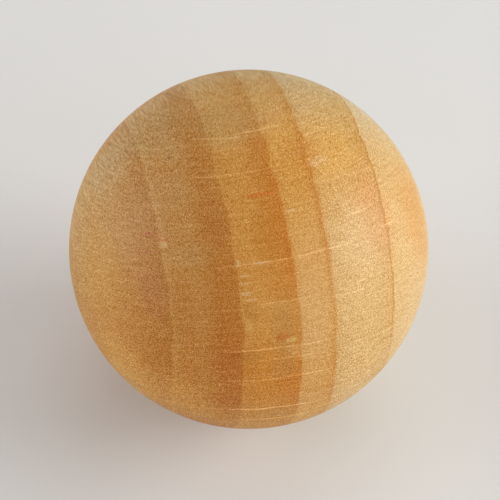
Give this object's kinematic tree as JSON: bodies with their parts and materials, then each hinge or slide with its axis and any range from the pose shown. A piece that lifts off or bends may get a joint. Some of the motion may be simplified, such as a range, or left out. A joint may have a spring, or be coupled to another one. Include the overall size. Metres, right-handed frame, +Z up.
{
  "type": "wooden ball",
  "caption": "Plain solid wooden ball, turned and sanded smooth from one piece of honey-coloured hardwood, with no bore or flat.",
  "frame": {"origin": "centre of the ball", "axes": "+Z up with the ball lying as pictured, -Y towards the viewer, +X to the viewer's right; the wood's end grain faces up and towards the viewer"},
  "size_m": [0.03, 0.03, 0.03],
  "materials": {
    "turned_wood": "sanded satin, end grain with growth rings and rays"
  },
  "bodies": {
    "root": {"ball": "turned_wood"}
  },
  "joints": []
}
